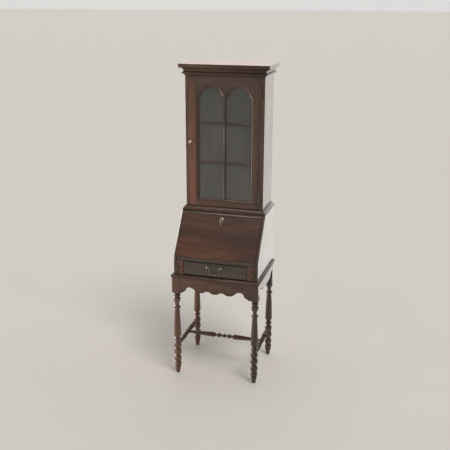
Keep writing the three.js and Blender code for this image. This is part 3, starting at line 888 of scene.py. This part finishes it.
def slope_yz(up, depth):
    _, y, z = on_slope(0, up, -depth)
    return (y, z)


bead_line = [
    slope_yz(bead_foot + 14.5, 1.2),
    slope_yz(bead_foot + 13.4, 0.0),
    slope_yz(bead_foot + 11.6, -1.2),
    slope_yz(bead_foot + 9.4, -2.1),
    slope_yz(bead_foot + 7.2, -2.6),
    slope_yz(bead_foot + 5.0, -2.6),
    slope_yz(bead_foot + 3.0, -2.1),
    slope_yz(bead_foot + 1.4, -1.2),
    slope_yz(bead_foot + 0.4, 0.0),
    slope_yz(bead_foot, 0.8),
]
top_outline = [
    (top_hi.y, top_lo.z),
    (top_hi.y, top_hi.z),
    (slope_top[0] - 1, top_hi.z),
    *bead_line,
]
desk_top = make(
    "desk_top_board",
    *prism(top_outline, "x", top_lo.x, top_hi.x),
    wood("desk_top_wood", "X", seed=11.9, wear_and_highlight=0.7),
    "carcase",
    "case_wood",
    ["desk_top"],
)
# The hole that the lock's bolt goes up into.
keeper_half, keeper_front, keeper_back, keeper_deep = 11, -247, -231, 9
keeper = make(
    "keeper_cut",
    *block(
        (-keeper_half, keeper_front, top_lo.z - 1),
        (keeper_half, keeper_back, top_lo.z + keeper_deep),
    ),
    STEEL,
    "carcase",
    "steel",
)
carved(desk_top, keeper)

WAIST_PROFILE = [
    (18.4, 955.4),
    (19.3, 956.0),
    (19.8, 957.4),
    (19.6, 959.0),
    (18.7, 960.2),
    (17.2, 960.8),
    (15.4, 961.2),
    (15.2, 962.6),
    (14.9, 965.0),
    (14.0, 967.6),
    (12.2, 970.2),
    (9.8, 972.2),
    (7.4, 973.4),
    (5.8, 974.0),
    (5.3, 975.0),
    (5.0, 978.0),
]
case_lo, case_hi = box_mm("case_side_right")
case_half = case_hi.x
case_depth = -case_lo.y
make(
    "waist_moulding_run",
    *moulding(WAIST_PROFILE, case_half, case_depth),
    wood("waist_moulding_wood", "X", seed=13.3, wear_and_highlight=0.9, gloss=0.6, rough=0.42),
    "carcase",
    "case_wood",
    ["waist_moulding"],
    smooth=50,
)

CORNICE_PROFILE = [
    (3.0, 1709.2),
    (3.6, 1710.2),
    (4.0, 1713.6),
    (6.4, 1714.8),
    (9.6, 1715.8),
    (12.0, 1717.8),
    (13.3, 1720.4),
    (13.3, 1723.0),
    (12.0, 1725.6),
    (9.4, 1727.4),
    (7.2, 1728.2),
    (7.0, 1730.4),
    *cove((7.0, 1731.0), (26.6, 1748.6), 12),
    (28.0, 1749.0),
    (28.0, 1751.7),
]
make(
    "cornice_moulding_run",
    *moulding(CORNICE_PROFILE, case_half, case_depth),
    wood("cornice_moulding_wood", "X", seed=15.1, wear_and_highlight=0.7, gloss=0.4, rough=0.42),
    "carcase",
    "case_wood",
    ["cornice_moulding"],
    smooth=40,
)


# ---- door -------------------------------------------------------------------------------------
stile_lo, stile_hi = box_mm("door_stile_right")
door_half, door_front = stile_hi.x, stile_lo.y
door_bottom, door_top, door_back = stile_lo.z, stile_hi.z, stile_hi.y
STILE_WIDTH = 38.5  # flat face, up to the moulded edge
RAIL_HEIGHT = 28
sight = door_half - STILE_WIDTH
sticking = 17.5  # width of the moulded edge
lap = door_front + 9.8  # back of the moulded edge, where the glass lies
rail_sight = door_bottom + RAIL_HEIGHT


def arch_line():
    """The left half of the opening's outer line, from the spring to the cusp."""
    points = [
        (-sight, 1576),
        (-sight + 1.5, 1590),
        (-152, 1611),
        (-139, 1630),
        (-113, 1654),
        (-95, 1662),
        (-76, 1665),
        (-56, 1662),
        (-38, 1652),
        (-22, 1638),
        (-9, 1620),
        (0, 1603),
    ]
    return curve(points, 5)


def opening():
    """Pairs of outer and inner points all round the glazed opening, clockwise from the left."""
    outer = arch_line()
    inner = []
    for i, point in enumerate(outer):
        before = Vector(outer[max(i - 1, 0)])
        after = Vector(outer[min(i + 1, len(outer) - 1)])
        along = (after - before).normalized()
        normal = Vector((along.y, -along.x))
        moved = Vector(point) + normal * sticking
        inner.append((min(moved.x, -2.0), moved.y))
    inner[-1] = (0.0, inner[-1][1])  # only the cusp reaches the middle
    left = list(zip(outer, inner))
    mirror = [((-o[0], o[1]), (-n[0], n[1])) for o, n in reversed(left[:-1])]
    corner = ((sight, rail_sight), (sight - sticking, rail_sight + sticking))
    corners = [corner, ((-corner[0][0], corner[0][1]), (-corner[1][0], corner[1][1]))]
    return left + mirror + corners


EDGE_SECTION = [(0.0, 0.0), (0.005, 1.3), (0.07, 1.4)]
for step in range(1, 9):
    turn = math.pi / 2 * step / 8
    EDGE_SECTION.append((0.07 + 0.7 * math.sin(turn), 1.4 + 5.8 * (1 - math.cos(turn))))
EDGE_SECTION += [(0.79, 8.2), (1.0, 8.4), (1.0, 9.8), (0.0, 9.8)]


def between(outer, inner, t, depth):
    x = outer[0] + (inner[0] - outer[0]) * t
    return (x, door_front + depth, outer[1] + (inner[1] - outer[1]) * t)


door_edge_loops = [
    [between(outer, inner, t, depth) for t, depth in EDGE_SECTION] for outer, inner in opening()
]
make(
    "door_moulded_edge",
    *rings(door_edge_loops, closed_path=True),
    wood("door_edge_wood", "Z", seed=17.7, wear_and_highlight=0.8),
    "door",
    "case_wood",
    smooth=38,
)

for side, name in ((-1, "door_stile_left"), (1, "door_stile_right")):
    near, far = sight + 0.1, door_half
    outline = [
        (side * far, door_front),
        (side * near, door_front),
        (side * near, lap + 0.2),
        (side * (sight - 10), lap + 0.2),
        (side * (sight - 10), door_back),
        (side * far, door_back),
    ]
    make(
        name + "_board",
        *prism(outline, "z", door_bottom, door_top),
        # the left stile takes the warmer tone's painted light
        wood(name + "_wood", "Z", WARM_LEFT_LIT if side < 0 else MAHOGANY, seed=19.3 + side, wear_and_highlight=0.6),
        "door",
        "case_wood",
        [name],
        bevel=2.2,
        segments=3,
    )

left_arch = arch_line()
right_arch = [(-x, z) for x, z in reversed(left_arch[:-1])]
arch_outline = [(-sight, door_top), *left_arch, *right_arch, (sight, door_top)]
make(
    "door_top_rail_board",
    *prism(arch_outline, "y", door_front, lap),
    wood("door_top_rail_wood", "X", DIM, seed=21.1, wear_and_highlight=0.5),
    "door",
    "case_wood",
    ["door_top_rail"],
    bevel=0.25,
    segments=1,
)
make(
    "door_top_rail_back",
    *block((-sight + 10.3, lap + 0.2, 1672), (sight - 10.3, door_back, door_top)),
    wood("door_top_rail_back_wood", "X", seed=22.1),
    "door",
    "case_wood",
)
make(
    "door_bottom_rail_board",
    *block((-sight, door_front, door_bottom), (sight, lap, rail_sight - 0.1)),
    wood("door_bottom_rail_wood", "X", seed=23.9, wear_and_highlight=0.6),
    "door",
    "case_wood",
    ["door_bottom_rail"],
    bevel=0.5,
    segments=2,
)
make(
    "door_bottom_rail_back",
    *block((-sight + 10.3, lap + 0.2, door_bottom), (sight - 10.3, door_back, rail_sight + 9)),
    wood("door_bottom_rail_back_wood", "X", seed=24.9),
    "door",
    "case_wood",
)

BAR_SECTION = [
    (-6.0, 0.0),
    (-6.0, 1.4),
    (-4.2, 2.0),
    (-3.2, 3.4),
    (-2.8, 5.2),
    (-2.0, 6.5),
    (-0.8, 7.1),
    (0.8, 7.1),
    (2.0, 6.5),
    (2.8, 5.2),
    (3.2, 3.4),
    (4.2, 2.0),
    (6.0, 1.4),
    (6.0, 0.0),
]
bar_wood = wood("glazing_bar_wood", "Z", DIM, seed=25.7, wear_and_highlight=0.7)
glass_bottom = rail_sight + sticking
upright = make(
    "glazing_bars_astragal",
    *prism([(x, lap - d) for x, d in BAR_SECTION], "z", glass_bottom - 2, 1603),
    bar_wood,
    "door",
    "case_wood",
    ["glazing_bars"],
)
crossings = []
for name in ("shelf_lower", "shelf_upper"):
    shelf_lo, shelf_hi = box_mm(name)
    height = (shelf_lo.z + shelf_hi.z) / 2
    section = [(lap - d, height + x) for x, d in BAR_SECTION]
    bar = prism(section, "x", sticking - sight - 2, sight - sticking + 2)
    crossings.append(make("bar_" + name, *bar, bar_wood, "door", "case_wood"))
carved(upright, *crossings, union=True)

knob_lo, knob_hi = box_mm("door_knob")
KNOB = [
    (6.0, 0.0),
    (6.2, 0.6),
    (5.6, 1.4),
    (3.6, 2.2),
    (2.9, 3.6),
    (2.8, 7.4),
    (3.4, 8.8),
    (5.8, 10.0),
    (7.5, 11.8),
    (8.0, 14.0),
    (7.4, 16.2),
    (5.6, 18.0),
    (3.0, 19.0),
    (0.8, 19.4),
]
knob_centre = ((knob_lo.x + knob_hi.x) / 2, door_front - 0.3, (knob_lo.z + knob_hi.z) / 2)
make(
    "door_knob_turned",
    *turned(KNOB, knob_centre, "front", 32),
    CLEAN_BRASS,
    "door",
    "brass",
    ["door_knob"],
    smooth=50,
)


def hinge(name):
    """A barrel of knuckles between two finials, and its two leaves."""
    lo, hi = box_mm(name)
    x, y = door_half + 0.3, door_front - 4
    profile = [(1.2, lo.z - 3.4), (2.4, lo.z - 2.8), (3.0, lo.z - 1.6), (2.2, lo.z - 0.5)]
    knuckles = 5
    length = (hi.z - lo.z) / knuckles
    for k in range(knuckles):
        start = lo.z + k * length
        profile += [
            (3.1, start + 0.15),
            (3.6, start + 0.7),
            (3.6, start + length - 0.7),
            (3.1, start + length - 0.15),
        ]
    profile += [(2.2, hi.z + 0.5), (3.0, hi.z + 1.6), (2.4, hi.z + 2.8), (1.2, hi.z + 3.4)]
    make(
        name + "_barrel",
        *turned(profile, (x, y, 0), "z", 24),
        DARK_BRASS,
        "carcase",
        "brass",
        [name],
        smooth=40,
    )
    for leaf, body, left, right, front in (
        ("_case_leaf", "carcase", 0.6, 2.3, 3.2),
        ("_door_leaf", "door", -2.4, -0.2, 4.2),
    ):
        shape = block((x + left, y + front, lo.z), (x + right, hi.y, hi.z))
        make(name + leaf, *shape, DARK_BRASS, body, "brass", bevel=0.3, segments=1)


hinge("door_hinge_lower")
hinge("door_hinge_upper")

# ---- drawer -----------------------------------------------------------------------------------
def raised_front(name, rows, material, body, slot, stands_for):
    """A board whose front edges are moulded: rows are (inset, depth behind the face)."""
    lo, hi = box_mm(stands_for)
    loops = [[(lo.x, hi.y, lo.z), (hi.x, hi.y, lo.z), (hi.x, hi.y, hi.z), (lo.x, hi.y, hi.z)]]
    for inset, depth in rows:
        y = lo.y + depth
        loops.append(
            [
                (lo.x + inset, y, lo.z + inset),
                (hi.x - inset, y, lo.z + inset),
                (hi.x - inset, y, hi.z - inset),
                (lo.x + inset, y, hi.z - inset),
            ]
        )
    return make(name, *rings(loops), material, body, slot, [stands_for], smooth=30)


DRAWER_EDGE = [
    (0.3, 4.0),
    (0.5, 3.4),
    (1.2, 2.2),
    (2.4, 1.2),
    (4.0, 0.5),
    (5.2, 0.25),
    (5.3, 0.9),
    (6.0, 0.9),
    (6.2, 0.0),
]
raised_front(
    "drawer_front_moulded",
    DRAWER_EDGE,
    wood("drawer_front_wood", "X", DRAWER, seed=27.1, gloss=0.8, wear_and_highlight=0.6),
    "drawer",
    "drawer_front_wood",
    "drawer_front",
)

POST = [
    (11.0, 0.0),
    (11.0, 0.8),
    (10.2, 1.6),
    (8.4, 1.7),
    (8.0, 2.6),
    (5.2, 3.4),
    (3.6, 4.8),
    (3.2, 7.0),
    (3.2, 10.4),
    (4.4, 11.4),
    (5.6, 13.0),
    (6.2, 15.6),
    (6.2, 18.0),
    (5.4, 20.4),
    (3.8, 22.2),
    (1.8, 23.4),
    (0.6, 23.7),
]
for name in ("bail_post_left", "bail_post_right"):
    rosette = turned(POST[:7], back_centre(name), "front", 36)
    make(name + "_rosette", *rosette, DARK_BRASS, "drawer", "brass", smooth=45)
    post = turned(POST[5:], back_centre(name), "front", 36)
    make(name + "_cast", *post, AGED_BRASS, "drawer", "brass", [name], smooth=45)

bail_lo, bail_hi = box_mm("bail")
pull_z = box_mm("bail_post_left")[0].z + 11
bail_y = (bail_lo.y + bail_hi.y) / 2
BAIL = [
    (-38.4, 0),
    (-33, 0),
    (-29.4, -1.6),
    (-27.8, -8),
    (-28.2, -20),
    (-28.6, -30),
    (-25.6, -37),
    (-17, -40.4),
    (-8, -40.2),
    (0, -41.6),
    (8, -40.2),
    (17, -40.4),
    (25.6, -37),
    (28.6, -30),
    (28.2, -20),
    (27.8, -8),
    (29.4, -1.6),
    (33, 0),
    (38.4, 0),
]
bail_line = [(x, bail_y, pull_z + z) for x, z in curve(BAIL, 6)]


def bail_radius(t):
    """Thin at the ends of the bail and thick in its middle."""
    return 1.55 + 0.95 * math.exp(-(((t - 0.5) / 0.17) ** 2))


make(
    "bail_cast",
    *tube(bail_line, bail_radius),
    PLATE_BRASS,
    "bail",
    "brass",
    ["bail"],
    smooth=60,
)

LOPER_KNOB = [
    (4.8, 0.0),
    (4.8, 0.7),
    (4.0, 1.5),
    (2.6, 2.4),
    (2.4, 5.0),
    (4.2, 6.4),
    (5.8, 8.0),
    (6.2, 9.8),
    (5.4, 11.6),
    (3.4, 12.9),
    (0.8, 13.4),
]
for side in ("left", "right"):
    name = "loper_knob_" + side
    make(
        name + "_turned",
        *turned(LOPER_KNOB, back_centre(name), "front", 28),
        DARK_BRASS,
        "loper_" + side,
        "brass",
        [name],
        smooth=50,
    )

# ---- lock furniture ---------------------------------------------------------------------------
key_up = 222.0  # of the keyhole, up the slope
ESCUTCHEON = [
    (0, 27),
    (3.4, 25.6),
    (5.4, 21.8),
    (8.6, 20.6),
    (12.4, 16.6),
    (13, 11.4),
    (10.6, 7.4),
    (8.4, 3.2),
    (10.4, -0.6),
    (11.6, -5.2),
    (9.6, -10.2),
    (6.4, -12.6),
    (5.2, -16.4),
    (3.4, -21.8),
    (0, -27),
]


def on_fall(points):
    return [on_slope(x, up, out) for x, up, out in points]


def escutcheon():
    """A pierced rococo plate, symmetric about the keyhole."""
    half = curve(ESCUTCHEON, 5)
    outline = half + [(-x, z) for x, z in reversed(half[1:-1])]
    rows = [(1.0, 0.3), (1.0, 1.1), (0.955, 1.7), (0.86, 2.0), (0.78, 1.75), (0.7, 1.75)]
    loops = []
    for scale, out in rows:
        loops.append(on_fall([(x * scale, key_up + z * scale, out) for x, z in outline]))
    return make(
        "escutcheon_cast",
        *rings(loops),
        PLATE_BRASS,
        "fall",
        "brass",
        ["escutcheon"],
        smooth=40,
    )


def lock_turned(profile, sides):
    """A turned solid about the keyhole's axis, from (radius, distance out) pairs."""
    loops = []
    for radius, out in profile:
        turns = [2 * math.pi * i / sides for i in range(sides)]
        loops.append(
            on_fall([(radius * math.cos(a), key_up + radius * math.sin(a), out) for a in turns])
        )
    return rings(loops)


def lock_block(half_width, lowest, highest, inside, outside):
    """A block that reaches from lowest to highest, measured from the keyhole up the slope."""
    corners = [
        (-half_width, lowest),
        (half_width, lowest),
        (half_width, highest),
        (-half_width, highest),
    ]
    points = [(x, key_up + up, out) for out in (inside, outside) for x, up in corners]
    return on_fall(points), BLOCK_FACES


plate = escutcheon()
keyhole = make(
    "keyhole_cut", *lock_turned([(3.4, -2.0), (3.4, 6.0)], 24), STEEL, "fall", "steel"
)
slot_cut = make("keyslot_cut", *lock_block(1.6, -9.5, 0, -2.0, 6.0), STEEL, "fall", "steel")
carved(plate, keyhole, slot_cut)


def key():
    """The shank, an oval bow and a bit, joined into one piece."""
    shank = [
        (2.0, -12.4),
        (2.2, -12.0),
        (2.2, 4.6),
        (2.9, 5.2),
        (3.1, 6.4),
        (2.9, 7.6),
        (2.2, 8.2),
        (2.2, 14.6),
        (2.8, 15.4),
        (3.0, 16.6),
        (2.4, 17.8),
        (1.6, 18.6),
    ]
    shank_shape = lock_turned(shank, 20)
    body = make("key_cut", *shank_shape, CLEAN_BRASS, "key", "brass", ["key"], smooth=40)
    loops = []
    count, sides = 40, 10
    bow_out, tall, deep = 25.6, 8.1, 6.6
    wire_out, wire_across = 1.45, 1.3
    for k in range(count):
        a = 2 * math.pi * k / count
        centre = Vector((0, key_up + tall * math.cos(a), bow_out + deep * math.sin(a)))
        outward = Vector((0, math.cos(a) / tall, math.sin(a) / deep)).normalized()
        loop = []
        for i in range(sides):
            b = 2 * math.pi * i / sides
            across = wire_across * math.sin(b) * Vector((1, 0, 0))
            loop.append(tuple(centre + wire_out * math.cos(b) * outward + across))
        loops.append(on_fall(loop))
    bow = make("key_bow", *rings(loops, True), CLEAN_BRASS, "key", "brass", smooth=60)
    bit_shape = lock_block(0.9, -8.2, -1, -12.4, -8.9)
    bit = make("key_bit", *bit_shape, CLEAN_BRASS, "key", "brass")
    carved(body, bow, bit, union=True)


key()

# ---- CAD pieces that stay, with softened arrises ----------------------------------------------
# CAD node: grain, tones, seed, width of the bevel in millimetres.
KEPT = {
    "writing_board": ("X", DRAWER, 31.0, 1.4),
    # the dividers take the warmer tone's painted light
    "drawer_divider_left": ("Z", WARM_LEFT_LIT, 32.0, 1.8),
    "drawer_divider_right": ("Z", WARM_LEFT_LIT, 33.0, 1.8),
    "loper_left": ("Z", MAHOGANY, 34.0, 2.0),
    "loper_right": ("Z", MAHOGANY, 35.0, 2.0),
    "fall_board": ("X", FALL, 36.0, 2.2),
    "case_side_left": ("Z", MAHOGANY, 37.0, 2.0),
    "case_side_right": ("Z", MAHOGANY, 38.0, 1.8),
    "case_bottom": ("X", MAHOGANY, 39.0, 0.6),
    "case_top": ("X", MAHOGANY, 40.0, 0.6),
    "shelf_lower": ("X", MAHOGANY, 41.0, 1.0),
    "shelf_upper": ("X", MAHOGANY, 42.0, 1.0),
    "cornice_board": ("X", MAHOGANY, 43.0, 1.8),
    "apron_back": ("X", MAHOGANY, 44.0, 0.8),
    "desk_bottom": ("X", INNER, 45.0, 0.5),
    "desk_back": ("X", DIM, 46.0, 0.5),
    "case_back": ("Z", DIM, 47.0, 0.5),
    "drawer_side_left": ("Y", INNER, 48.0, 0.5),
    "drawer_side_right": ("Y", INNER, 49.0, 0.5),
    "drawer_back": ("X", INNER, 50.0, 0.5),
    "drawer_bottom": ("X", INNER, 51.0, 0.4),
    "gallery_shelf": ("X", INNER, 52.0, 0.7),
    "gallery_upright": ("Z", INNER, 53.0, 0.7),
}


def soften(node, width):
    thing = nodes[node]
    weld = thing.modifiers.new("weld", "WELD")
    weld.merge_threshold = 1e-5
    arris = thing.modifiers.new("arris", "BEVEL")
    arris.width = width * MM
    arris.segments = 3
    arris.limit_method = "ANGLE"
    arris.angle_limit = math.radians(35)
    arris.harden_normals = True


def dress(node, material):
    for material_slot in nodes[node].material_slots:
        material_slot.material = material


for node, (grain, tones, seed, width) in KEPT.items():
    plain = tones in (INNER, DIM)
    dress(
        node,
        wood(
            node + "_finish",
            grain,
            tones,
            seed,
            gloss=0.15 if plain else 0.6,
            rough=0.5 if plain else 0.4,
            wear_and_highlight=0.3 if plain else 0.6,
            cloud=0.16 if node == "fall_board" else 0.12,
        ),
    )
    soften(node, width)

for node in ("lock_bolt", "fall_pivot_left", "fall_pivot_right"):
    dress(node, DARK_BRASS)
    soften(node, 0.3)
dress("lock_case", STEEL)
soften("lock_case", 0.4)
dress("door_glass", GLASS)

# ---- floor, light and camera ------------------------------------------------------------------
floor_mesh = bpy.data.meshes.new("floor")
half = 300.0
corners = [(-half, -half, 0), (half, -half, 0), (half, half, 0), (-half, half, 0)]
floor_mesh.from_pydata(corners, [], [(0, 1, 2, 3)])
floor = bpy.data.objects.new("floor", floor_mesh)
bpy.context.scene.collection.objects.link(floor)
floor_mesh.materials.append(floor_paint("pale_floor"))


def group(name, things):
    made = bpy.data.collections.new(name)
    for thing in things:
        made.objects.link(thing)
    return made


pieces = [
    thing
    for thing in bpy.context.scene.objects
    if thing.type == "MESH" and thing is not floor
]
furniture = group("furniture", pieces)
ground = group("ground", [floor])


def place_light(name, data, place, target, power, color, lit):
    """A light that reaches only one group, so that the floor stays plain."""
    data.energy = power
    data.color = color
    lamp = bpy.data.objects.new(name, data)
    bpy.context.scene.collection.objects.link(lamp)
    lamp.location = place
    lamp.rotation_euler = (Vector(target) - Vector(place)).to_track_quat("-Z", "Y").to_euler()
    lamp.visible_camera = False
    lamp.light_linking.receiver_collection = lit


def soft_box(name, place, target, width, height, power, color=(1.0, 0.97, 0.94)):
    data = bpy.data.lights.new(name, "AREA")
    data.shape = "RECTANGLE"
    data.size, data.size_y = width, height
    place_light(name, data, place, target, power, color, furniture)


def sun(name, place, power, lit):
    data = bpy.data.lights.new(name, "SUN")
    data.angle = math.radians(24)
    place_light(name, data, place, (0, 0, 0), power, (1.0, 0.98, 0.95), lit)


soft_box("side_glow", (0.42, 0.5, 1.0), (0.42, -1.0, 1.0), 0.34, 1.5, 1.55)
soft_box("window_left", (-3.0, 1.6, 1.1), (0.0, 0.0, 0.9), 3.4, 2.4, 140)
soft_box("window_front", (-2.5, -1.6, 0.55), (0.0, -0.2, 0.4), 1.3, 1.2, 40)
soft_box("lamp_above", (-0.3, -0.65, 3.1), (0.0, -0.15, 0.9), 1.1, 0.6, 20)
soft_box("ceiling_back", (-0.8, 2.8, 2.65), (0.0, 0.0, 1.77), 2.4, 1.2, 14, (1.0, 0.78, 0.6))
sun("key_right", (0.55, -0.62, 0.9), 0.25, furniture)
sun("floor_light", (0.5, -0.4, 1.0), 1.05, ground)

# A sky that is brighter behind the piece than behind the camera.
world = bpy.data.worlds.new("studio")
bpy.context.scene.world = world
world.use_nodes = True
sky = world.node_tree
facing = sky.nodes.new("ShaderNodeTexCoord")
split = sky.nodes.new("ShaderNodeSeparateXYZ")
sky.links.new(facing.outputs["Generated"], split.inputs[0])
depth_ramp = sky.nodes.new("ShaderNodeMapRange")
for key, value in {"From Min": -0.5, "From Max": 0.6, "To Min": 0.3, "To Max": 0.72}.items():
    depth_ramp.inputs[key].default_value = value
sky.links.new(split.outputs["Y"], depth_ramp.inputs["Value"])
sky.links.new(depth_ramp.outputs["Result"], sky.nodes["Background"].inputs["Strength"])
sky.nodes["Background"].inputs["Color"].default_value = (1.0, 0.985, 0.965, 1)

# The camera as solved from the photo: radians, metres and millimetres.
YAW, PITCH, ROLL = 0.27618, 0.30009, 0.003386
CAMERA_PLACE = (1.05824, -3.93282 + BACK * MM, 2.07082)
LENS = 56.84
forward = Vector(
    (-math.sin(YAW) * math.cos(PITCH), math.cos(YAW) * math.cos(PITCH), -math.sin(PITCH))
)
level = Vector((math.cos(YAW), math.sin(YAW), 0))
above = level.cross(forward)
right = level * math.cos(ROLL) + above * math.sin(ROLL)
up = above * math.cos(ROLL) - level * math.sin(ROLL)
camera_turn = Matrix((right, up, -forward)).transposed().to_4x4()
camera_data = bpy.data.cameras.new("camera")
camera_data.sensor_width = 36
camera_data.lens = LENS
camera = bpy.data.objects.new("camera", camera_data)
bpy.context.scene.collection.objects.link(camera)
camera.matrix_world = Matrix.Translation(CAMERA_PLACE) @ camera_turn
camera_data.clip_end = 900
bpy.context.scene.camera = camera
bpy.context.scene.view_settings.view_transform = "Standard"

bpy.context.view_layer.update()
